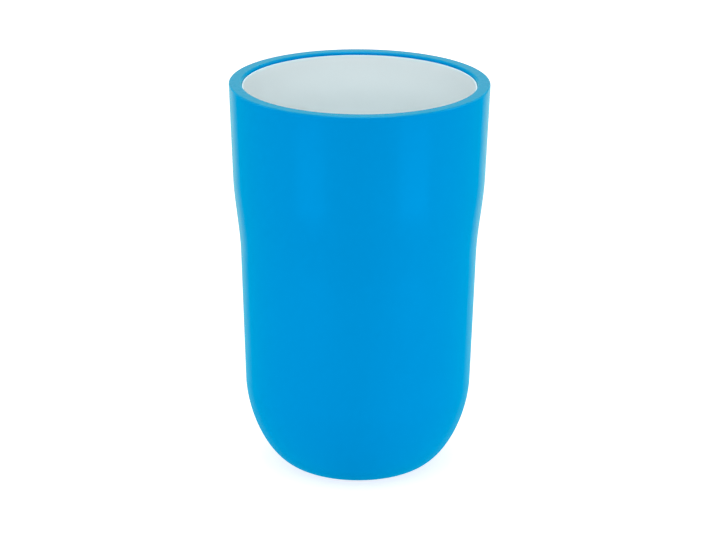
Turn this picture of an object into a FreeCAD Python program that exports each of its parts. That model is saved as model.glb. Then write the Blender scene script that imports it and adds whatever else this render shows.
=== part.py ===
import FreeCAD, Part
import math
import os

# Bathroom tumbler: a thick coloured shell that stands on a soft foot ring, and a white
# liner that drops into its mouth onto a flat seal. Millimetres, +Z up, the origin is on
# the surface it stands on, under the middle of the tumbler.

# Overall sizes
TOTAL_HEIGHT = 110.0
RIM_DIAMETER = 70.7

# Outside of the shell, from the rim down
RIM_OUTER_ROUND = 0.35
UPPER_BAND_HEIGHT = 26.0
UPPER_TAPER_DEG = 2.05
WAIST_HEIGHT = 21.9
WAIST_STEP = 2.02
WAIST_HANDLE_SHARE = 0.333
LOWER_TAPER_DEG = 1.75
BOTTOM_ROUND_HEIGHT = 24.1
BASE_FLAT_DIAMETER = 35.3
ROUND_SIDE_HANDLE_SHARE = 0.468
ROUND_BASE_HANDLE_SHARE = 0.467

# Inside of the shell
RIM_LAND_WIDTH = 3.45
RIM_INNER_ROUND = 0.5
POCKET_DRAFT_DEG = 0.5
LEDGE_WIDTH = 0.8
SHELL_WALL = 2.0
FLOOR_OVER_GROOVE = 1.6

# Underside of the shell
GATE_DIMPLE_DIAMETER = 9.0
GATE_DIMPLE_DEPTH = 0.5

# Foot ring and its groove
FOOT_STAND_HEIGHT = 1.1
FOOT_GROOVE_DEPTH = 1.4
FOOT_RING_WIDTH = 3.2
FOOT_RING_INSET = 1.2
FOOT_SIDE_CLEARANCE = 0.05
FOOT_EDGE_ROUND_SHARE = 0.2

# Liner
LIP_DEPTH = 0.85
COLLAR_HEIGHT = 12.0
COLLAR_CLEARANCE = 0.12
LINER_EDGE_WIDTH = 0.35
LINER_EDGE_ROUND_SHARE = 0.4
LINER_FLARE_DEG = 9.0
LINER_FLARE_HEIGHT = 3.0
FLARE_HANDLE_SHARE = 0.4
NECK_CLEARANCE = 0.25
LINER_WALL = 1.1
LINER_FLOOR = 1.5
SIDE_AIR_GAP = 0.7
FLOOR_AIR_GAP = 1.2

# Seal
SEAL_THICKNESS = 1.2
SEAL_POCKET_CLEARANCE = 0.1
SEAL_NECK_CLEARANCE = 0.05

# Heights that follow
RIM_Z = TOTAL_HEIGHT
WAIST_TOP_Z = RIM_Z - UPPER_BAND_HEIGHT
WAIST_FOOT_Z = WAIST_TOP_Z - WAIST_HEIGHT
BASE_Z = FOOT_STAND_HEIGHT
ROUND_TOP_Z = BASE_Z + BOTTOM_ROUND_HEIGHT
GROOVE_ROOF_Z = BASE_Z + FOOT_GROOVE_DEPTH
CAVITY_FLOOR_Z = GROOVE_ROOF_Z + FLOOR_OVER_GROOVE
LINER_BOTTOM_Z = CAVITY_FLOOR_Z + FLOOR_AIR_GAP
LINER_FLOOR_Z = LINER_BOTTOM_Z + LINER_FLOOR
LINER_TOP_Z = RIM_Z - LIP_DEPTH
SHOULDER_Z = LINER_TOP_Z - COLLAR_HEIGHT
LEDGE_Z = SHOULDER_Z - SEAL_THICKNESS

# Radii that follow
UPPER_SLOPE = math.tan(math.radians(UPPER_TAPER_DEG))
LOWER_SLOPE = math.tan(math.radians(LOWER_TAPER_DEG))
POCKET_SLOPE = math.tan(math.radians(POCKET_DRAFT_DEG))
FLARE_SLOPE = math.tan(math.radians(LINER_FLARE_DEG))
RIM_R = RIM_DIAMETER / 2
WAIST_TOP_R = RIM_R - UPPER_BAND_HEIGHT * UPPER_SLOPE
WAIST_FOOT_R = WAIST_TOP_R - WAIST_STEP
ROUND_TOP_R = WAIST_FOOT_R - (WAIST_FOOT_Z - ROUND_TOP_Z) * LOWER_SLOPE
BASE_FLAT_R = BASE_FLAT_DIAMETER / 2
FOOT_OUTER_R = BASE_FLAT_R - FOOT_RING_INSET
FOOT_INNER_R = FOOT_OUTER_R - FOOT_RING_WIDTH
POCKET_R = RIM_R - RIM_LAND_WIDTH
LEDGE_R = POCKET_R - (RIM_Z - LEDGE_Z) * POCKET_SLOPE
BORE_R = LEDGE_R - LEDGE_WIDTH
NECK_R = BORE_R - NECK_CLEARANCE


def spot(radius, height):
    """Return a point of the half section."""
    return FreeCAD.Vector(radius, 0, height)


def pocket_radius(height):
    """Return the radius of the shell's mouth pocket at a height."""
    return POCKET_R - (RIM_Z - height) * POCKET_SLOPE


class Outline:
    """A half section, drawn corner by corner from the axis and turned about Z."""

    def __init__(self, radius, height):
        self.corners = [spot(radius, height)]
        self.rounds = [0]
        self.handles = [None]

    def line(self, radius, height, rounding=0):
        """Go straight to a corner, which an arc may round."""
        self.corners.append(spot(radius, height))
        self.rounds.append(rounding)
        self.handles.append(None)

    def curve(self, leave, arrive, end):
        """Go to a corner along a cubic curve with two handles."""
        self.corners.append(end)
        self.rounds.append(0)
        self.handles.append((leave, arrive))

    def turned_corner(self, index):
        """Return where a corner's arc starts, its middle and where it ends."""
        at = self.corners[index]
        rounding = self.rounds[index]
        if not rounding:
            return at, None, at
        back = (self.corners[index - 1] - at).normalize()
        ahead = (self.corners[(index + 1) % len(self.corners)] - at).normalize()
        half = back.getAngle(ahead) / 2
        reach = rounding / math.tan(half)
        inward = (back + ahead).normalize()
        middle = at + inward * (rounding / math.sin(half) - rounding)
        return at + back * reach, middle, at + ahead * reach

    def solid(self):
        """Return the closed outline turned into a solid."""
        turns = [self.turned_corner(index) for index in range(len(self.corners))]
        edges = []
        for index, (start, middle, end) in enumerate(turns):
            if middle is not None:
                edges.append(Part.Arc(start, middle, end).toShape())
            following = (index + 1) % len(turns)
            target = turns[following][0]
            if self.handles[following] is None:
                edges.append(Part.LineSegment(end, target).toShape())
            else:
                bezier = Part.BezierCurve()
                bezier.setPoles([end, *self.handles[following], target])
                edges.append(bezier.toShape())
        face = Part.Face(Part.Wire(edges))
        axis = FreeCAD.Vector(0, 0, 1)
        return face.revolve(FreeCAD.Vector(0, 0, 0), axis, 360)


def bottom_handles(side_r, side_z, flat_r, flat_z):
    """Return the handles of a rounded bottom, beside its wall and beside its flat."""
    drop = (side_z - flat_z) * ROUND_SIDE_HANDLE_SHARE
    reach = (side_r - flat_r) * ROUND_BASE_HANDLE_SHARE
    beside_wall = spot(side_r - drop * LOWER_SLOPE, side_z - drop)
    beside_flat = spot(flat_r + reach, flat_z)
    return beside_wall, beside_flat


def draw_underside(outline):
    """Draw the gate dimple, the foot ring's groove and the flat base."""
    dimple_r = GATE_DIMPLE_DIAMETER / 2
    outline.line(dimple_r - GATE_DIMPLE_DEPTH, BASE_Z + GATE_DIMPLE_DEPTH)
    outline.line(dimple_r, BASE_Z)
    outline.line(FOOT_INNER_R, BASE_Z)
    outline.line(FOOT_INNER_R, GROOVE_ROOF_Z)
    outline.line(FOOT_OUTER_R, GROOVE_ROOF_Z)
    outline.line(FOOT_OUTER_R, BASE_Z)
    outline.line(BASE_FLAT_R, BASE_Z)


def draw_outside(outline):
    """Draw the rounded bottom, the lower band, the waist, the upper band and the rim."""
    wall, flat = bottom_handles(ROUND_TOP_R, ROUND_TOP_Z, BASE_FLAT_R, BASE_Z)
    outline.curve(flat, wall, spot(ROUND_TOP_R, ROUND_TOP_Z))
    outline.line(WAIST_FOOT_R, WAIST_FOOT_Z)
    reach = WAIST_HEIGHT * WAIST_HANDLE_SHARE
    leave = spot(WAIST_FOOT_R + reach * LOWER_SLOPE, WAIST_FOOT_Z + reach)
    arrive = spot(WAIST_TOP_R - reach * UPPER_SLOPE, WAIST_TOP_Z - reach)
    outline.curve(leave, arrive, spot(WAIST_TOP_R, WAIST_TOP_Z))
    outline.line(RIM_R, RIM_Z, RIM_OUTER_ROUND)
    outline.line(POCKET_R, RIM_Z, RIM_INNER_ROUND)


def draw_cavity(outline):
    """Draw the mouth pocket, the seal's ledge and the bore down to its floor."""
    outline.line(LEDGE_R, LEDGE_Z)
    outline.line(BORE_R, LEDGE_Z)
    outline.line(WAIST_FOOT_R - SHELL_WALL, WAIST_FOOT_Z)
    side_r = ROUND_TOP_R - SHELL_WALL
    outline.line(side_r, ROUND_TOP_Z)
    wall, flat = bottom_handles(side_r, ROUND_TOP_Z, BASE_FLAT_R, CAVITY_FLOOR_Z)
    outline.curve(wall, flat, spot(BASE_FLAT_R, CAVITY_FLOOR_Z))
    outline.line(0, CAVITY_FLOOR_Z)


def make_outer_shell():
    """Return the thick coloured shell."""
    outline = Outline(0, BASE_Z + GATE_DIMPLE_DEPTH)
    draw_underside(outline)
    draw_outside(outline)
    draw_cavity(outline)
    return outline.solid()


def draw_liner_outside(outline):
    """Draw the liner's rounded bottom, its body, its shoulder and its collar."""
    inset = SHELL_WALL + SIDE_AIR_GAP
    side_r = ROUND_TOP_R - inset
    outline.line(BASE_FLAT_R, LINER_BOTTOM_Z)
    wall, flat = bottom_handles(side_r, ROUND_TOP_Z, BASE_FLAT_R, LINER_BOTTOM_Z)
    outline.curve(flat, wall, spot(side_r, ROUND_TOP_Z))
    outline.line(WAIST_FOOT_R - inset, WAIST_FOOT_Z)
    outline.line(NECK_R, LEDGE_Z)
    outline.line(NECK_R, SHOULDER_Z)
    outline.line(pocket_radius(SHOULDER_Z) - COLLAR_CLEARANCE, SHOULDER_Z)
    edge_round = LINER_EDGE_WIDTH * LINER_EDGE_ROUND_SHARE
    collar_r = pocket_radius(LINER_TOP_Z) - COLLAR_CLEARANCE
    outline.line(collar_r, LINER_TOP_Z, edge_round)
    outline.line(collar_r - LINER_EDGE_WIDTH, LINER_TOP_Z, edge_round)


def draw_liner_inside(outline):
    """Draw the liner's flared mouth, its inner wall and its rounded floor."""
    inset = SHELL_WALL + SIDE_AIR_GAP + LINER_WALL
    mouth_r = pocket_radius(LINER_TOP_Z) - COLLAR_CLEARANCE - LINER_EDGE_WIDTH
    flare_z = LINER_TOP_Z - LINER_FLARE_HEIGHT
    flare_r = mouth_r - LINER_FLARE_HEIGHT * FLARE_SLOPE
    outline.line(flare_r, flare_z)
    throat_r = NECK_R - LINER_WALL
    waist_r = WAIST_FOOT_R - inset
    throat_slope = (throat_r - waist_r) / (LEDGE_Z - WAIST_FOOT_Z)
    reach = (flare_z - LEDGE_Z) * FLARE_HANDLE_SHARE
    leave = spot(flare_r - reach * FLARE_SLOPE, flare_z - reach)
    arrive = spot(throat_r + reach * throat_slope, LEDGE_Z + reach)
    outline.curve(leave, arrive, spot(throat_r, LEDGE_Z))
    outline.line(waist_r, WAIST_FOOT_Z)
    side_r = ROUND_TOP_R - inset
    outline.line(side_r, ROUND_TOP_Z)
    wall, flat = bottom_handles(side_r, ROUND_TOP_Z, BASE_FLAT_R, LINER_FLOOR_Z)
    outline.curve(wall, flat, spot(BASE_FLAT_R, LINER_FLOOR_Z))
    outline.line(0, LINER_FLOOR_Z)


def make_inner_liner():
    """Return the white liner that drops into the shell."""
    outline = Outline(0, LINER_BOTTOM_Z)
    draw_liner_outside(outline)
    draw_liner_inside(outline)
    return outline.solid()


def make_liner_seal():
    """Return the flat ring between the liner's shoulder and the shell's ledge."""
    inner_r = NECK_R + SEAL_NECK_CLEARANCE
    outer_r = LEDGE_R - SEAL_POCKET_CLEARANCE
    outline = Outline(inner_r, LEDGE_Z)
    outline.line(outer_r, LEDGE_Z)
    outline.line(outer_r, SHOULDER_Z)
    outline.line(inner_r, SHOULDER_Z)
    return outline.solid()


def make_foot_ring():
    """Return the soft ring that the tumbler stands on."""
    inner_r = FOOT_INNER_R + FOOT_SIDE_CLEARANCE
    outer_r = FOOT_OUTER_R - FOOT_SIDE_CLEARANCE
    edge_round = (outer_r - inner_r) * FOOT_EDGE_ROUND_SHARE
    outline = Outline(inner_r, GROOVE_ROOF_Z)
    outline.line(inner_r, 0, edge_round)
    outline.line(outer_r, 0, edge_round)
    outline.line(outer_r, GROOVE_ROOF_Z)
    return outline.solid()


PIECES = {
    "outer_shell": make_outer_shell,
    "inner_liner": make_inner_liner,
    "liner_seal": make_liner_seal,
    "foot_ring": make_foot_ring,
}

os.makedirs("parts", exist_ok=True)
for name, make in PIECES.items():
    make().exportStep("parts/" + name + ".step")
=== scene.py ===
import logging
import math
from dataclasses import dataclass
from enum import Enum
from typing import Any, Optional, Union

import bpy
from mathutils import Matrix, Vector


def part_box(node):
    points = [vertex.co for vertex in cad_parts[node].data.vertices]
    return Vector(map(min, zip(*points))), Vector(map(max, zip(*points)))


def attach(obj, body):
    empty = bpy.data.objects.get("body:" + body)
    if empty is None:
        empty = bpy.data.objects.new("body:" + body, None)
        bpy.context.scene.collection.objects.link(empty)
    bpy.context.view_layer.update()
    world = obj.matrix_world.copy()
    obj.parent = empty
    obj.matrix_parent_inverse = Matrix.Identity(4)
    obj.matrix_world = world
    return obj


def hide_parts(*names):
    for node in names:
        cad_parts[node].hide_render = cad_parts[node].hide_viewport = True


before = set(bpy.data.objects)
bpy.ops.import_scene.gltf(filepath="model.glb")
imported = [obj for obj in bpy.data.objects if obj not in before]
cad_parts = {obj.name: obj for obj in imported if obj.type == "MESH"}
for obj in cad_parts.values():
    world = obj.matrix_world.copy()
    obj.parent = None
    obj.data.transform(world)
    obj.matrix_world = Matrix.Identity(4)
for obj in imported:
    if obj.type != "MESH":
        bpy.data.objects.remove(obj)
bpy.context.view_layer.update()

LOG = logging.getLogger("tumbler")
IMAGE_WIDTH_PX = 716

MM = 0.001
SEGMENTS = 240
CURVE_STEPS = 30
ARC_STEPS = 6
SUPPORT_MM = 0.12
SHORT_RUN_MM = 3.0 * SUPPORT_MM
MERGE_M = 2e-7
SHARP_EDGE_DEG = 32.0
EVEN_BLEND = 0.5
MIX_FIRST, MIX_SECOND, MIX_RESULT = 6, 7, 2

Point = tuple[float, float]
Colour = tuple[float, float, float]

PURE_WHITE: Colour = (1.0, 1.0, 1.0)


class Body(Enum):
    """The bodies of the frame that pieces ride on."""

    SHELL = "shell"
    LINER = "liner"


class Slot(Enum):
    """The record's material slots."""

    SHELL = "shell_blue"
    LINER = "liner_white"
    SEAL = "seal_silicone"
    FOOT = "foot_rubber"


class Noise(Enum):
    """Kinds of mottling, by the detail that they hold."""

    BROAD = 2.0
    FINE = 5.0


def opaque(colour: Colour) -> tuple[float, float, float, float]:
    """Return a colour with full alpha."""
    return (*colour, 1.0)


def slope(degrees: float) -> float:
    """Return how far a wall that leans by an angle goes out per unit of height."""
    return math.tan(math.radians(degrees))


class Value:
    """A number that varies over a surface; sums and products of it add Math nodes."""

    def __init__(self, sheet: "ShaderSheet", socket: bpy.types.NodeSocket) -> None:
        """Wrap a socket of a sheet."""
        self.sheet = sheet
        self.socket = socket

    def _math(self, operation: str, first: Any, second: Any, clamp: bool = False) -> "Value":
        """Add one Math node.

        Args:
            operation: The Math node's operation.
            first: The first operand, a Value or a number.
            second: The second operand, a Value or a number.
            clamp: Whether the result is held between 0 and 1.

        Returns:
            The node's result.
        """
        settings = {"operation": operation, "use_clamp": clamp}
        node = self.sheet.node("ShaderNodeMath", settings, {0: first, 1: second})
        return Value(self.sheet, node.outputs[0])

    def __add__(self, other: Union["Value", float]) -> "Value":
        """Return the sum."""
        return self._math("ADD", self, other)

    def __radd__(self, other: float) -> "Value":
        """Return the sum with a number on the left."""
        return self._math("ADD", other, self)

    def __sub__(self, other: Union["Value", float]) -> "Value":
        """Return the difference."""
        return self._math("SUBTRACT", self, other)

    def __rsub__(self, other: float) -> "Value":
        """Return the difference from a number on the left."""
        return self._math("SUBTRACT", other, self)

    def __mul__(self, other: Union["Value", float]) -> "Value":
        """Return the product."""
        return self._math("MULTIPLY", self, other)

    def __rmul__(self, other: float) -> "Value":
        """Return the product with a number on the left."""
        return self._math("MULTIPLY", other, self)

    def __truediv__(self, other: Union["Value", float]) -> "Value":
        """Return the quotient."""
        return self._math("DIVIDE", self, other)

    def __rtruediv__(self, other: float) -> "Value":
        """Return the quotient of a number on the left."""
        return self._math("DIVIDE", other, self)

    def larger(self, other: Union["Value", float]) -> "Value":
        """Return the larger of two values."""
        return self._math("MAXIMUM", self, other)

    def smaller(self, other: Union["Value", float]) -> "Value":
        """Return the smaller of two values."""
        return self._math("MINIMUM", self, other)

    def held(self) -> "Value":
        """Return the value held between 0 and 1."""
        return self._math("ADD", self, 0.0, clamp=True)


class ShaderSheet:
    """The node tree of one material or world."""

    def __init__(self, owner: Union[bpy.types.Material, bpy.types.World]) -> None:
        """Start an empty sheet.

        Args:
            owner: The material or world that it belongs to.
        """
        owner.use_nodes = True
        self.tree = owner.node_tree
        self.tree.nodes.clear()

    def node(self, kind: str, settings: dict[str, Any], inputs: dict[Any, Any]) -> bpy.types.Node:
        """Add one node.

        Args:
            kind: The node's type.
            settings: Properties that are set first.
            inputs: Values, sockets or constants by socket name or index.

        Returns:
            The new node.
        """
        made = self.tree.nodes.new(kind)
        for key, setting in settings.items():
            setattr(made, key, setting)
        for key, given in inputs.items():
            if isinstance(given, Value):
                given = given.socket
            if isinstance(given, bpy.types.NodeSocket):
                self.tree.links.new(given, made.inputs[key])
            else:
                made.inputs[key].default_value = given
        return made

    def value(self, node: bpy.types.Node, output: Union[str, int]) -> Value:
        """Return one of a node's outputs as a Value."""
        return Value(self, node.outputs[output])

    def place(self) -> bpy.types.NodeSocket:
        """Return the Object coordinates."""
        return self.node("ShaderNodeTexCoord", {}, {}).outputs["Object"]

    def noise(self, place: bpy.types.NodeSocket, per_metre: float, kind: Noise) -> Value:
        """Return a mottling between 0 and 1, with so many blotches along a metre."""
        inputs = {"Vector": place, "Scale": per_metre, "Detail": kind.value}
        return self.value(self.node("ShaderNodeTexNoise", {}, inputs), 0)

    def height(self, place: bpy.types.NodeSocket) -> Value:
        """Return the height above the standing surface, in metres."""
        return self.value(self.node("ShaderNodeSeparateXYZ", {}, {0: place}), "Z")

    def grazing(self) -> Value:
        """Return how far a surface turns away from the view, 0 face on and 1 edge on."""
        return self.value(self.node("ShaderNodeLayerWeight", {}, {"Blend": EVEN_BLEND}), "Facing")

    def mix(self, share: Value, first: Any, second: Any) -> bpy.types.NodeSocket:
        """Return a blend of two colours.

        Args:
            share: How much of the second colour shows.
            first: A colour or a colour socket.
            second: A colour or a colour socket.

        Returns:
            The blended colour's socket.
        """
        settings = {"data_type": "RGBA"}
        inputs = {"Factor": share, MIX_FIRST: first, MIX_SECOND: second}
        return self.node("ShaderNodeMix", settings, inputs).outputs[MIX_RESULT]

    def bump(self, height: Value, depth_m: float, strength: float) -> bpy.types.NodeSocket:
        """Return a normal that follows a height from 0 to 1, of a depth in metres."""
        inputs = {"Height": height, "Distance": depth_m, "Strength": strength}
        return self.node("ShaderNodeBump", {}, inputs).outputs["Normal"]

    def surface(self, inputs: dict[str, Any]) -> None:
        """Add the surface's shader and the material's output."""
        shader = self.node("ShaderNodeBsdfPrincipled", {}, inputs)
        self.node("ShaderNodeOutputMaterial", {}, {"Surface": shader.outputs[0]})


@dataclass(frozen=True)
class MouldedPlastic:
    """Opaque moulded plastic with faint flow mottling, fine skin and a rim band with painted light
    and polish.
    """

    name: str
    colour: Colour
    mottled: Colour
    painted_rim_light: Colour
    rim_reach_mm: float
    roughness: float
    roughness_spread: float
    specular: float
    pearl: float
    pearl_tint: Colour
    sheen: float
    sheen_tint: Colour
    sheen_roughness: float = 0.48
    gloss_from: float = 1.0
    gloss_gain: float = 0.0
    gloss_most: float = 0.42
    gloss_full_mm: float = 95.0
    gloss_roughness: float = 0.12
    gloss_tint: Colour = (1.0, 0.80, 0.64)
    rim_gloss: float = 0.0
    painted_light_and_polish_least: float = 0.8
    painted_light_and_polish_spread: float = 0.4
    flow_per_m: float = 38.0
    skin_per_m: float = 1500.0
    skin_depth_m: float = 4e-6
    speck_per_m: float = 420.0
    mean_mottle: float = 0.5

    def build(self, rim_z_mm: float) -> bpy.types.Material:
        """Make the material.

        Args:
            rim_z_mm: The height of the piece's rim.

        Returns:
            The material.
        """
        material = bpy.data.materials.new(self.name)
        sheet = ShaderSheet(material)
        place = sheet.place()
        flow = sheet.noise(place, self.flow_per_m, Noise.BROAD)
        specks = sheet.noise(place, self.speck_per_m, Noise.FINE)
        skin = sheet.noise(place, self.skin_per_m, Noise.BROAD)
        height = sheet.height(place)
        rim = self._rim(height, rim_z_mm)
        mottled = sheet.mix(flow, opaque(self.colour), opaque(self.mottled))
        # Rim band: painted light in its colour, plus polish in its roughness and gloss; specks
        # vary its strength.
        painted_light_and_polish = (rim * (self.painted_light_and_polish_least + specks * self.painted_light_and_polish_spread)).held()
        smears = (flow - self.mean_mottle + (specks - self.mean_mottle)) * self.roughness_spread
        edge_on = (sheet.grazing() - self.gloss_from) * self.gloss_gain
        edge_on = edge_on.held().smaller(self.gloss_most)
        gloss = edge_on * (height / (self.gloss_full_mm * MM)).held() + painted_light_and_polish * self.rim_gloss
        sheet.surface({
            # The base colour mixes painted light into the rim band.
            "Base Color": sheet.mix(painted_light_and_polish, mottled, opaque(self.painted_rim_light)),
            "Roughness": (self.roughness + smears + painted_light_and_polish * self.roughness_spread).held(),
            "Specular IOR Level": self.specular,
            "Specular Tint": opaque(self.pearl_tint),
            "Metallic": self.pearl,
            "Coat Weight": gloss.held(),
            "Coat Roughness": self.gloss_roughness,
            "Coat Tint": opaque(self.gloss_tint),
            "Sheen Weight": self.sheen,
            "Sheen Roughness": self.sheen_roughness,
            "Sheen Tint": opaque(self.sheen_tint),
            "Normal": sheet.bump(skin, self.skin_depth_m, 1.0),
        })
        return material

    def _rim(self, height: Value, rim_z_mm: float) -> Value:
        """Return the rim band, 1 on top of it and 0 below its reach, where light is painted into
        the colour and the rim is polished.
        """
        foot = (rim_z_mm - self.rim_reach_mm) * MM
        return ((height - foot) / (self.rim_reach_mm * MM)).held()


@dataclass(frozen=True)
class SoftRubber:
    """Matte elastomer with a fine grain and pale dust in its pores."""

    name: str
    colour: Colour
    dust: Colour
    roughness: float
    grain_per_m: float
    grain_depth_m: float
    grain_strength: float = 0.8
    grains_per_drift: float = 12.0
    dust_gain: float = 2.4
    dust_from: float = 0.45
    dust_roughness: float = 0.2
    specular: float = 0.3

    def build(self) -> bpy.types.Material:
        """Make the material.

        Returns:
            The material.
        """
        material = bpy.data.materials.new(self.name)
        sheet = ShaderSheet(material)
        place = sheet.place()
        grain = sheet.noise(place, self.grain_per_m, Noise.FINE)
        drift = sheet.noise(place, self.grain_per_m / self.grains_per_drift, Noise.BROAD)
        dusty = (grain * drift * self.dust_gain - self.dust_from).held()
        sheet.surface({
            "Base Color": sheet.mix(dusty, opaque(self.colour), opaque(self.dust)),
            "Roughness": (self.roughness + dusty * self.dust_roughness).held(),
            "Specular IOR Level": self.specular,
            "Normal": sheet.bump(grain, self.grain_depth_m, self.grain_strength),
        })
        return material


class Section:
    """A half section in millimetres, drawn corner by corner and sampled to points."""

    def __init__(self, radius: float, height: float) -> None:
        """Start a section at its first corner.

        Args:
            radius: The corner's distance from the axis.
            height: The corner's height.
        """
        self.corners: list[Vector] = [Vector((radius, height))]
        self.rounds: list[float] = [0.0]
        self.handles: list[Optional[tuple[Vector, Vector]]] = [None]

    def line(self, radius: float, height: float, rounding: float = 0.0) -> None:
        """Go straight to a corner, which an arc may round.

        Args:
            radius: The corner's distance from the axis.
            height: The corner's height.
            rounding: The radius of its arc.
        """
        self.corners.append(Vector((radius, height)))
        self.rounds.append(rounding)
        self.handles.append(None)

    def curve(self, leave: Point, arrive: Point, end: Point) -> None:
        """Go to a corner along a cubic curve.

        Args:
            leave: The handle at the curve's start.
            arrive: The handle at its end.
            end: The corner that it ends in.
        """
        self.corners.append(Vector(end))
        self.rounds.append(0.0)
        self.handles.append((Vector(leave), Vector(arrive)))

    def points(self, closed: bool) -> list[Vector]:
        """Return the sampled section.

        Args:
            closed: Whether it runs back to its first corner, as a ring's does.

        Returns:
            The points in order, the first one repeated at the end if closed.
        """
        count = len(self.corners)
        turns = [self._turn(index) for index in range(count)]
        sampled = list(turns[0])
        for index in range(1, count + int(closed)):
            here = turns[index % count]
            sampled += self._stretch(sampled[-1], here[0], self.handles[index % count])
            sampled += here[1:] if index < count else []
        return sampled

    def _turn(self, index: int) -> list[Vector]:
        """Return a corner's arc, or the corner itself.

        Args:
            index: Which corner.

        Returns:
            The arc's points in order.
        """
        at = self.corners[index]
        rounding = self.rounds[index]
        if not rounding:
            return [at]
        back = (self.corners[index - 1] - at).normalized()
        ahead = (self.corners[(index + 1) % len(self.corners)] - at).normalized()
        half = back.angle(ahead) / 2.0
        centre = at + (back + ahead).normalized() * (rounding / math.sin(half))
        start = at + back * (rounding / math.tan(half)) - centre
        end = at + ahead * (rounding / math.tan(half)) - centre
        sweep = start.angle_signed(end)
        steps = [Matrix.Rotation(-sweep * step / ARC_STEPS, 2) for step in range(ARC_STEPS + 1)]
        return [centre + turn @ start for turn in steps]

    @staticmethod
    def _stretch(
        start: Vector, end: Vector, handles: Optional[tuple[Vector, Vector]]
    ) -> list[Vector]:
        """Return the points after a start, along a line or a curve.

        Args:
            start: Where it starts.
            end: Where it ends.
            handles: The curve's two handles, or None for a line.

        Returns:
            The points, the end included.
        """
        if handles is None:
            run = end - start
            if run.length < SHORT_RUN_MM:
                return [end]
            lead = run.normalized() * SUPPORT_MM
            return [start + lead, end - lead, end]
        leave, arrive = handles
        sampled = []
        for step in range(1, CURVE_STEPS + 1):
            share = step / CURVE_STEPS
            rest = 1.0 - share
            sampled.append(
                start * rest**3
                + leave * (3.0 * rest**2 * share)
                + arrive * (3.0 * rest * share**2)
                + end * share**3
            )
        return sampled


def clear_selection() -> None:
    """Deselect every object before the next operator."""
    bpy.ops.object.select_all(action="DESELECT")


def spin_section(name: str, points: list[Vector]) -> bpy.types.Object:
    """Draw a half section point by point and spin it about Z.

    Args:
        name: The new object's name.
        points: The section's points in millimetres, in order.

    Returns:
        The closed and smoothed object, at the origin.
    """
    clear_selection()
    bpy.ops.mesh.primitive_plane_add(size=MM, location=(0.0, 0.0, 0.0))
    turned = bpy.context.object
    turned.name = name
    turned.data.name = name
    bpy.ops.object.mode_set(mode="EDIT")
    bpy.ops.mesh.select_all(action="SELECT")
    bpy.ops.mesh.merge(type="CENTER")
    bpy.ops.transform.translate(value=(points[0].x * MM, 0.0, points[0].y * MM))
    for before, after in zip(points, points[1:]):
        step = (after - before) * MM
        bpy.ops.mesh.extrude_vertices_move(
            TRANSFORM_OT_translate={"value": (step.x, 0.0, step.y)}
        )
    bpy.ops.mesh.select_all(action="SELECT")
    bpy.ops.mesh.spin(
        steps=SEGMENTS, angle=math.tau, center=(0.0, 0.0, 0.0), axis=(0.0, 0.0, 1.0)
    )
    bpy.ops.mesh.select_all(action="SELECT")
    bpy.ops.mesh.remove_doubles(threshold=MERGE_M)
    bpy.ops.mesh.normals_make_consistent(inside=False)
    bpy.ops.object.mode_set(mode="OBJECT")
    bpy.ops.object.shade_smooth_by_angle(angle=math.radians(SHARP_EDGE_DEG))
    return turned


def dress(
    piece: bpy.types.Object, material: bpy.types.Material, body: Body
) -> bpy.types.Object:
    """Give a piece its finish and the body that it moves with.

    Args:
        piece: The finished mesh object.
        material: Its material.
        body: The body that it rides on.

    Returns:
        The piece.
    """
    piece.data.materials.clear()
    piece.data.materials.append(material)
    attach(piece, body.value)
    return piece


@dataclass(frozen=True)
class Levels:
    """Heights of the pieces at rest, in millimetres."""

    base_z: float
    rim_z: float
    groove_roof_z: float
    liner_bottom_z: float
    liner_top_z: float
    ledge_z: float
    shoulder_z: float

    @classmethod
    def from_frame(cls) -> "Levels":
        """Read the levels that the frame's CAD pieces lie at.

        Returns:
            The levels.
        """
        nodes = ("outer_shell", "foot_ring", "inner_liner", "liner_seal")
        shell, foot, liner, seal = ([end.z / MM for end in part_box(node)] for node in nodes)
        return cls(*shell, foot[1], *liner, *seal)


@dataclass(frozen=True)
class TumblerSizes:
    """Sizes that the shell and the liner share, in millimetres."""

    levels: Levels
    rim_r: float = 35.35
    upper_band: float = 26.0
    upper_slope: float = slope(2.05)
    waist_height: float = 21.9
    waist_step: float = 2.02
    lower_slope: float = slope(1.75)
    bottom_round: float = 24.1
    base_flat_r: float = 17.65
    land_width: float = 3.45
    pocket_slope: float = slope(0.5)
    ledge_width: float = 0.8
    shell_wall: float = 2.0
    neck_clearance: float = 0.25

    @property
    def waist_top(self) -> Point:
        """The corner where the upper band meets the waist."""
        return self.rim_r - self.upper_band * self.upper_slope, self.levels.rim_z - self.upper_band

    @property
    def waist_foot(self) -> Point:
        """The corner where the waist meets the lower band."""
        return self.waist_top[0] - self.waist_step, self.waist_top[1] - self.waist_height

    @property
    def round_top(self) -> Point:
        """The corner where the lower band meets the rounded bottom."""
        height = self.levels.base_z + self.bottom_round
        return self.waist_foot[0] - (self.waist_foot[1] - height) * self.lower_slope, height

    @property
    def bore_r(self) -> float:
        """The radius of the shell's bore under the seal's ledge."""
        return self.pocket_r(self.levels.ledge_z) - self.ledge_width

    @property
    def neck_r(self) -> float:
        """The radius of the liner's neck inside that bore."""
        return self.bore_r - self.neck_clearance

    def pocket_r(self, height: float) -> float:
        """Return the radius of the shell's mouth at a height."""
        return self.rim_r - self.land_width - (self.levels.rim_z - height) * self.pocket_slope

    def inset(self, corner: Point, depth: float) -> Point:
        """Return a corner of the outside moved towards the axis."""
        return corner[0] - depth, corner[1]


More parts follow.
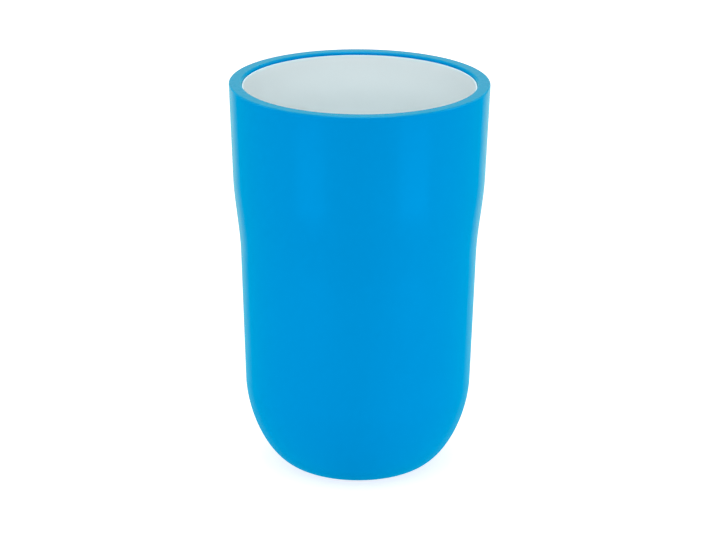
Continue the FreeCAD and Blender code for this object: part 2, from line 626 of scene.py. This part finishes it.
@dataclass(frozen=True)
class RoundedBottom:
    """The rounded foot of a wall, from the wall's side to a flat."""

    side: Point
    flat: Point
    wall_slope: float
    side_share: float = 0.468
    flat_share: float = 0.467

    def handles(self) -> tuple[Point, Point]:
        """Work out the curve's handles.

        Returns:
            The handle beside the wall and the one beside the flat.
        """
        drop = (self.side[1] - self.flat[1]) * self.side_share
        reach = (self.side[0] - self.flat[0]) * self.flat_share
        beside_wall = (self.side[0] - drop * self.wall_slope, self.side[1] - drop)
        return beside_wall, (self.flat[0] + reach, self.flat[1])

    def up(self, section: Section) -> None:
        """Draw it from the flat to the wall."""
        wall, flat = self.handles()
        section.curve(flat, wall, self.side)

    def down(self, section: Section) -> None:
        """Draw it from the wall to the flat."""
        wall, flat = self.handles()
        section.curve(wall, flat, self.flat)


@dataclass(frozen=True)
class ShellAssembly:
    """The blue shell, its foot ring and its gate mark; sizes in millimetres."""

    sizes: TumblerSizes
    rim_outer_round: float = 0.35
    rim_inner_round: float = 0.5
    waist_share: float = 0.333
    floor_over_groove: float = 1.6
    dimple_r: float = 4.5
    dimple_depth: float = 0.5
    foot_inset: float = 1.2
    foot_width: float = 3.2
    foot_clearance: float = 0.05
    foot_round_share: float = 0.2
    grip_depth: float = 0.22
    grip_shares: tuple[float, ...] = (0.36, 0.64)
    grip_half_width: float = 0.22
    gate_r: float = 0.9
    gate_height: float = 0.32
    gate_root_share: float = 1.25
    gate_round_share: float = 0.25
    gate_pit_r_share: float = 1.0 / 3.0
    gate_pit_depth_share: float = 0.5

    @property
    def groove(self) -> Point:
        """The inner and the outer radius of the foot ring's groove."""
        outer = self.sizes.base_flat_r - self.foot_inset
        return outer - self.foot_width, outer

    @property
    def dimple_roof_z(self) -> float:
        """The height of the flat inside the gate's dimple."""
        return self.sizes.levels.base_z + self.dimple_depth

    def shell_section(self) -> list[Vector]:
        """Draw the shell's half section.

        Returns:
            Its points, from the axis underneath to the axis inside.
        """
        section = Section(0.0, self.dimple_roof_z)
        self._draw_underside(section)
        self._draw_outside(section)
        self._draw_cavity(section)
        return section.points(closed=False)

    def _draw_underside(self, section: Section) -> None:
        """Draw the gate's dimple, the foot ring's groove and the flat base.

        Args:
            section: The section that they are added to.
        """
        base_z = self.sizes.levels.base_z
        roof_z = self.sizes.levels.groove_roof_z
        section.line(self.dimple_r - self.dimple_depth, self.dimple_roof_z)
        section.line(self.dimple_r, base_z)
        section.line(self.groove[0], base_z)
        section.line(self.groove[0], roof_z)
        section.line(self.groove[1], roof_z)
        section.line(self.groove[1], base_z)
        section.line(self.sizes.base_flat_r, base_z)

    def _draw_outside(self, section: Section) -> None:
        """Draw the rounded bottom, the two bands with the waist between, and the rim.

        Args:
            section: The section that they are added to.
        """
        sizes = self.sizes
        flat = (sizes.base_flat_r, sizes.levels.base_z)
        RoundedBottom(sizes.round_top, flat, sizes.lower_slope).up(section)
        section.line(*sizes.waist_foot)
        foot_r, foot_z = sizes.waist_foot
        top_r, top_z = sizes.waist_top
        reach = sizes.waist_height * self.waist_share
        leave = (foot_r + reach * sizes.lower_slope, foot_z + reach)
        arrive = (top_r - reach * sizes.upper_slope, top_z - reach)
        section.curve(leave, arrive, sizes.waist_top)
        rim_z = sizes.levels.rim_z
        section.line(sizes.rim_r, rim_z, self.rim_outer_round)
        section.line(sizes.pocket_r(rim_z), rim_z, self.rim_inner_round)

    def _draw_cavity(self, section: Section) -> None:
        """Draw the mouth, the seal's ledge and the bore down to its floor.

        Args:
            section: The section that they are added to.
        """
        sizes = self.sizes
        ledge_z = sizes.levels.ledge_z
        section.line(sizes.pocket_r(ledge_z), ledge_z)
        section.line(sizes.bore_r, ledge_z)
        section.line(*sizes.inset(sizes.waist_foot, sizes.shell_wall))
        side = sizes.inset(sizes.round_top, sizes.shell_wall)
        section.line(*side)
        floor_z = sizes.levels.groove_roof_z + self.floor_over_groove
        RoundedBottom(side, (sizes.base_flat_r, floor_z), sizes.lower_slope).down(section)
        section.line(0.0, floor_z)

    def foot_section(self) -> list[Vector]:
        """Draw the foot ring's half section, with two shallow grip grooves.

        Returns:
            Its points, the first one repeated at the end.
        """
        inner = self.groove[0] + self.foot_clearance
        outer = self.groove[1] - self.foot_clearance
        edge_round = (outer - inner) * self.foot_round_share
        roof_z = self.sizes.levels.groove_roof_z
        section = Section(inner, roof_z)
        section.line(inner, 0.0, edge_round)
        for share in self.grip_shares:
            middle = inner + (outer - inner) * share
            section.line(middle - self.grip_half_width, 0.0)
            section.line(middle, self.grip_depth)
            section.line(middle + self.grip_half_width, 0.0)
        section.line(outer, 0.0, edge_round)
        section.line(outer, roof_z)
        return section.points(closed=True)

    def gate_section(self) -> list[Vector]:
        """Draw the half section of the stub that the moulding gate leaves.

        Returns:
            Its points, from the axis above to the axis underneath.
        """
        roof = self.dimple_roof_z
        section = Section(0.0, roof)
        tip = roof - self.gate_height
        section.line(self.gate_r * self.gate_root_share, roof)
        section.line(self.gate_r, tip, self.gate_height * self.gate_round_share)
        section.line(self.gate_r * self.gate_pit_r_share, tip)
        section.line(0.0, tip + self.gate_height * self.gate_pit_depth_share)
        return section.points(closed=False)

    def build(self, plastic: bpy.types.Material, rubber: bpy.types.Material) -> None:
        """Make and dress the shell's pieces.

        Args:
            plastic: The shell's material.
            rubber: The foot ring's material.
        """
        shell = spin_section("shell_body", self.shell_section())
        dress(shell, plastic, Body.SHELL)
        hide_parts("outer_shell")
        report(shell)
        foot = spin_section("foot_grip_ring", self.foot_section())
        dress(foot, rubber, Body.SHELL)
        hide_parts("foot_ring")
        report(foot)
        gate = spin_section("gate_stub", self.gate_section())
        dress(gate, plastic, Body.SHELL)
        report(gate)


@dataclass(frozen=True)
class LinerAssembly:
    """The white liner and the seal under its collar; sizes in millimetres."""

    sizes: TumblerSizes
    wall: float = 1.1
    floor: float = 1.5
    air_gap: float = 0.7
    collar_clearance: float = 0.12
    edge_width: float = 0.35
    edge_round_share: float = 0.4
    flare_height: float = 3.0
    flare_slope: float = slope(9.0)
    flare_share: float = 0.4
    seal_neck_clearance: float = 0.05
    seal_pocket_clearance: float = 0.1
    seal_round: float = 0.22

    @property
    def outer_inset(self) -> float:
        """How far the liner's outside lies inside the shell's outside."""
        return self.sizes.shell_wall + self.air_gap

    @property
    def collar_top_r(self) -> float:
        """The radius of the collar at the liner's top."""
        return self.sizes.pocket_r(self.sizes.levels.liner_top_z) - self.collar_clearance

    def liner_section(self) -> list[Vector]:
        """Draw the liner's half section.

        Returns:
            Its points, from the axis underneath to the axis inside.
        """
        section = Section(0.0, self.sizes.levels.liner_bottom_z)
        self._draw_outside(section)
        self._draw_mouth(section)
        self._draw_inside(section)
        return section.points(closed=False)

    def _draw_outside(self, section: Section) -> None:
        """Draw the rounded bottom, the body, the shoulder and the collar.

        Args:
            section: The section that they are added to.
        """
        sizes, levels = self.sizes, self.sizes.levels
        flat = (sizes.base_flat_r, levels.liner_bottom_z)
        section.line(*flat)
        side = sizes.inset(sizes.round_top, self.outer_inset)
        RoundedBottom(side, flat, sizes.lower_slope).up(section)
        section.line(*sizes.inset(sizes.waist_foot, self.outer_inset))
        section.line(sizes.neck_r, levels.ledge_z)
        section.line(sizes.neck_r, levels.shoulder_z)
        foot_r = sizes.pocket_r(levels.shoulder_z) - self.collar_clearance
        section.line(foot_r, levels.shoulder_z)
        edge_round = self.edge_width * self.edge_round_share
        section.line(self.collar_top_r, levels.liner_top_z, edge_round)
        section.line(self.collar_top_r - self.edge_width, levels.liner_top_z, edge_round)

    def _draw_mouth(self, section: Section) -> None:
        """Draw the flare under the liner's edge, down to its throat.

        Args:
            section: The section that it is added to.
        """
        sizes, levels = self.sizes, self.sizes.levels
        mouth_r = self.collar_top_r - self.edge_width
        flare_r = mouth_r - self.flare_height * self.flare_slope
        flare_z = levels.liner_top_z - self.flare_height
        section.line(flare_r, flare_z)
        throat_r = sizes.neck_r - self.wall
        waist_r, waist_z = sizes.inset(sizes.waist_foot, self.outer_inset + self.wall)
        throat_slope = (throat_r - waist_r) / (levels.ledge_z - waist_z)
        reach = (flare_z - levels.ledge_z) * self.flare_share
        leave = (flare_r - reach * self.flare_slope, flare_z - reach)
        arrive = (throat_r + reach * throat_slope, levels.ledge_z + reach)
        section.curve(leave, arrive, (throat_r, levels.ledge_z))

    def _draw_inside(self, section: Section) -> None:
        """Draw the inner wall and the rounded floor.

        Args:
            section: The section that they are added to.
        """
        sizes = self.sizes
        inset = self.outer_inset + self.wall
        section.line(*sizes.inset(sizes.waist_foot, inset))
        side = sizes.inset(sizes.round_top, inset)
        section.line(*side)
        floor_z = sizes.levels.liner_bottom_z + self.floor
        RoundedBottom(side, (sizes.base_flat_r, floor_z), sizes.lower_slope).down(section)
        section.line(0.0, floor_z)

    def seal_section(self) -> list[Vector]:
        """Draw the seal's half section, a flat ring with soft edges.

        Returns:
            Its points, the first one repeated at the end.
        """
        levels = self.sizes.levels
        inner = self.sizes.neck_r + self.seal_neck_clearance
        outer = self.sizes.pocket_r(levels.ledge_z) - self.seal_pocket_clearance
        section = Section(inner, levels.ledge_z)
        section.rounds[0] = self.seal_round
        section.line(outer, levels.ledge_z, self.seal_round)
        section.line(outer, levels.shoulder_z, self.seal_round)
        section.line(inner, levels.shoulder_z, self.seal_round)
        return section.points(closed=True)

    def build(self, plastic: bpy.types.Material, silicone: bpy.types.Material) -> None:
        """Make and dress the liner's pieces.

        Args:
            plastic: The liner's material.
            silicone: The seal's material.
        """
        liner = spin_section("liner_cup", self.liner_section())
        dress(liner, plastic, Body.LINER)
        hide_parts("inner_liner")
        report(liner)
        seal = spin_section("liner_seal_ring", self.seal_section())
        dress(seal, silicone, Body.LINER)
        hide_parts("liner_seal")
        report(seal)


def report(piece: bpy.types.Object) -> None:
    """Log one finished piece.

    Args:
        piece: The piece, whose box and face count are given.
    """
    low = [min(corner[axis] for corner in piece.bound_box) for axis in range(3)]
    high = [max(corner[axis] for corner in piece.bound_box) for axis in range(3)]
    sides = ", ".join(f"{(b - a) / MM:.2f}" for a, b in zip(low, high))
    LOG.info("%s: %s mm, %d faces", piece.name, sides, len(piece.data.polygons))


@dataclass(frozen=True)
class Lamp:
    """One soft box of the studio; lengths in metres, power in watts."""

    name: str
    place: tuple[float, float, float]
    sides: Point
    power: float

    def build(self, target: Vector) -> None:
        """Add the lamp, turned to the object.

        Args:
            target: The point that it faces.
        """
        clear_selection()
        bpy.ops.object.light_add(type="AREA", location=self.place)
        lamp = bpy.context.object
        lamp.name = self.name
        lamp.data.shape = "RECTANGLE"
        lamp.data.size, lamp.data.size_y = self.sides
        lamp.data.energy = self.power
        towards = target - Vector(self.place)
        lamp.rotation_euler = towards.to_track_quat("-Z", "Y").to_euler()


@dataclass(frozen=True)
class Studio:
    """The floor, the light and the camera; lengths in metres."""

    floor_side: float = 12.0
    floor_colour: Colour = (0.57, 0.57, 0.57)
    floor_glow: float = 0.34
    floor_lift: float = 0.43
    ambient: float = 0.47
    aim_z: float = 0.05619
    distance: float = 0.7520
    side_step: float = -0.000131
    elevation_deg: float = 19.089
    roll_deg: float = 0.357
    focal_px: float = 2721.0
    sensor_mm: float = 36.0
    lamps: tuple[Lamp, ...] = (
        Lamp("top_soft_box", (0.0, -0.66, 1.10), (1.0, 1.0), 5.8),
        Lamp("overhead_soft_box", (0.0, 0.0, 1.15), (0.6, 0.6), 4.2),
        Lamp("left_soft_box", (-1.15, 0.0, 0.10), (0.3, 0.2), 1.9),
        Lamp("right_soft_box", (1.15, 0.0, 0.10), (0.3, 0.2), 2.4),
        Lamp("left_strip", (-0.131, -0.151, 0.0225), (0.085, 0.045), 0.0125),
        Lamp("right_strip", (0.146, -0.136, 0.0225), (0.095, 0.045), 0.0155),
    )

    def build(self) -> None:
        """Build the whole studio."""
        bpy.context.scene.view_settings.view_transform = "Standard"
        self._build_floor()
        self._build_world()
        for lamp in self.lamps:
            lamp.build(Vector((0.0, 0.0, self.aim_z)))
        self._build_camera()

    @staticmethod
    def _seen_as_background(sheet: ShaderSheet) -> Value:
        """Tell the rays that show the background, straight, mirrored or through glass.

        Args:
            sheet: The sheet of the floor or the surround.

        Returns:
            1 for such rays and 0 for the light that falls on the object.
        """
        path = sheet.node("ShaderNodeLightPath", {}, {})
        straight = sheet.value(path, "Is Camera Ray")
        mirrored = sheet.value(path, "Is Glossy Ray")
        through = sheet.value(path, "Is Transmission Ray")
        return straight.larger(mirrored).larger(through)

    def _build_floor(self) -> None:
        """Add the pale floor, which keeps the object's shadow."""
        clear_selection()
        bpy.ops.mesh.primitive_plane_add(size=self.floor_side, location=(0.0, 0.0, 0.0))
        floor = bpy.context.object
        floor.name = "studio_floor"
        material = bpy.data.materials.new("pale_floor")
        sheet = ShaderSheet(material)
        lit = sheet.node("ShaderNodeBsdfDiffuse", {}, {"Color": opaque(self.floor_colour)})
        lift = self.floor_glow + self._seen_as_background(sheet) * self.floor_lift
        glow = sheet.node("ShaderNodeEmission", {}, {"Strength": lift})
        both = sheet.node("ShaderNodeAddShader", {}, {0: lit.outputs[0], 1: glow.outputs[0]})
        sheet.node("ShaderNodeOutputMaterial", {}, {"Surface": both.outputs[0]})
        floor.data.materials.append(material)

    def _build_world(self) -> None:
        """Set an even white surround."""
        world = bpy.data.worlds.new("studio_surround")
        bpy.context.scene.world = world
        sheet = ShaderSheet(world)
        seen = self._seen_as_background(sheet)
        strength = self.ambient + seen * (1.0 - self.ambient)
        inputs = {"Color": opaque(PURE_WHITE), "Strength": strength}
        white = sheet.node("ShaderNodeBackground", {}, inputs)
        sheet.node("ShaderNodeOutputWorld", {}, {"Surface": white.outputs[0]})

    def _build_camera(self) -> None:
        """Add the camera at the photograph's angle."""
        tilt = math.radians(self.elevation_deg)
        place = Vector((
            self.side_step,
            -self.distance * math.cos(tilt),
            self.aim_z + self.distance * math.sin(tilt),
        ))
        clear_selection()
        bpy.ops.object.camera_add(location=place)
        camera = bpy.context.object
        camera.name = "photo_camera"
        lean = Matrix.Rotation(math.pi / 2.0 - tilt, 4, "X")
        roll = Matrix.Rotation(math.radians(self.roll_deg), 4, "Z")
        camera.matrix_world = Matrix.Translation(place) @ lean @ roll
        camera.data.sensor_width = self.sensor_mm
        camera.data.lens = self.focal_px / IMAGE_WIDTH_PX * self.sensor_mm
        bpy.context.scene.camera = camera


BLUE_PLASTIC = MouldedPlastic(
    name="blue_moulded_plastic",
    colour=(0.0, 0.279, 0.686),
    mottled=(0.0, 0.290, 0.700),
    # Painted light: the rim's lamp-lit top face is tinted greener and less blue than the body.
    painted_rim_light=(0.0, 0.300, 0.622),
    rim_reach_mm=0.5,
    roughness=0.22,
    roughness_spread=0.05,
    specular=0.0,
    pearl=0.09,
    pearl_tint=(0.0, 1.0, 1.0),
    sheen=0.42,
    sheen_tint=(0.0, 1.0, 1.0),
    gloss_from=0.682,
    gloss_gain=3.5,
    rim_gloss=0.16,
)
WHITE_PLASTIC = MouldedPlastic(
    name="white_moulded_plastic",
    colour=(0.86, 0.95, 0.965),
    mottled=(0.875, 0.96, 0.975),
    # Painted light: blue bounce light from the shell's lip, painted on the liner's top edge.
    painted_rim_light=(0.78, 0.96, 1.0),
    rim_reach_mm=1.0,
    roughness=0.34,
    roughness_spread=0.06,
    specular=0.20,
    pearl=0.0,
    pearl_tint=(1.0, 1.0, 1.0),
    sheen=0.0,
    sheen_tint=(1.0, 1.0, 1.0),
)
GREY_RUBBER = SoftRubber(
    name="grey_foot_rubber",
    colour=(0.40, 0.43, 0.46),
    dust=(0.58, 0.60, 0.62),
    roughness=0.62,
    grain_per_m=1900.0,
    grain_depth_m=2e-5,
)
MILKY_SILICONE = SoftRubber(
    name="milky_seal_silicone",
    colour=(0.70, 0.73, 0.74),
    dust=(0.80, 0.81, 0.81),
    roughness=0.48,
    grain_per_m=2600.0,
    grain_depth_m=8e-6,
)


def main() -> None:
    """Build the tumbler's pieces and the studio."""
    logging.basicConfig(level=logging.INFO, format="%(name)s: %(message)s")
    sizes = TumblerSizes(Levels.from_frame())
    blue = BLUE_PLASTIC.build(sizes.levels.rim_z)
    white = WHITE_PLASTIC.build(sizes.levels.liner_top_z)
    ShellAssembly(sizes).build(blue, GREY_RUBBER.build())
    LinerAssembly(sizes).build(white, MILKY_SILICONE.build())
    Studio().build()


if __name__ == "__main__":
    main()
